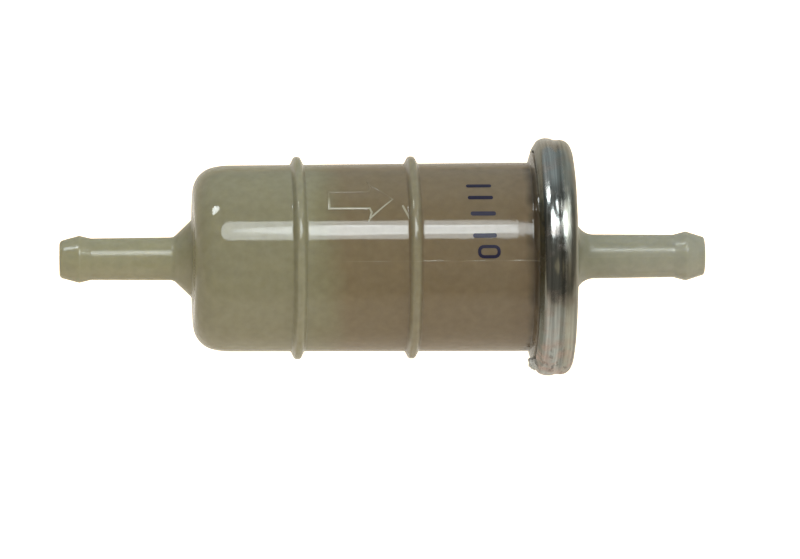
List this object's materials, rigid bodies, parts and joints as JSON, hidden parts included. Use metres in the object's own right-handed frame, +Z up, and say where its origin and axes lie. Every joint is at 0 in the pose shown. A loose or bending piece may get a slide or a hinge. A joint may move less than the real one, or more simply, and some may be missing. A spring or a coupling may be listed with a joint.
{
  "type": "inline fuel filter",
  "caption": "Inline fuel filter: translucent nylon cup and cover with hose nipples, clamped by a crimped steel ring around a pleated paper element.",
  "frame": {"origin": "on the filter's axis, midway between the cup's two ribs, where a rubber band or bracket grips it", "axes": "+X along the axis in the direction of flow, from the inlet nipple to the outlet nipple; +Z up; +Y away from the viewer"},
  "size_m": [0.1261, 0.0464, 0.0464],
  "materials": {
    "nylon": "semi-gloss, translucent",
    "zinc_steel": "bright zinc plate",
    "rubber": "matte",
    "element_plastic": "satin",
    "potting_resin": "satin",
    "filter_paper": "matte, resin treated"
  },
  "bodies": {
    "root": {"filter_body": "nylon", "outlet_cover": "nylon", "crimp_ring": "zinc_steel", "flange_seal": "rubber", "element_closed_cap": "element_plastic", "closed_cap_resin": "potting_resin", "pleated_paper": "filter_paper", "paper_seam_clip": "zinc_steel", "element_core": "element_plastic", "open_cap_resin": "potting_resin", "element_open_cap": "element_plastic", "collar_seal": "rubber"}
  },
  "joints": []
}
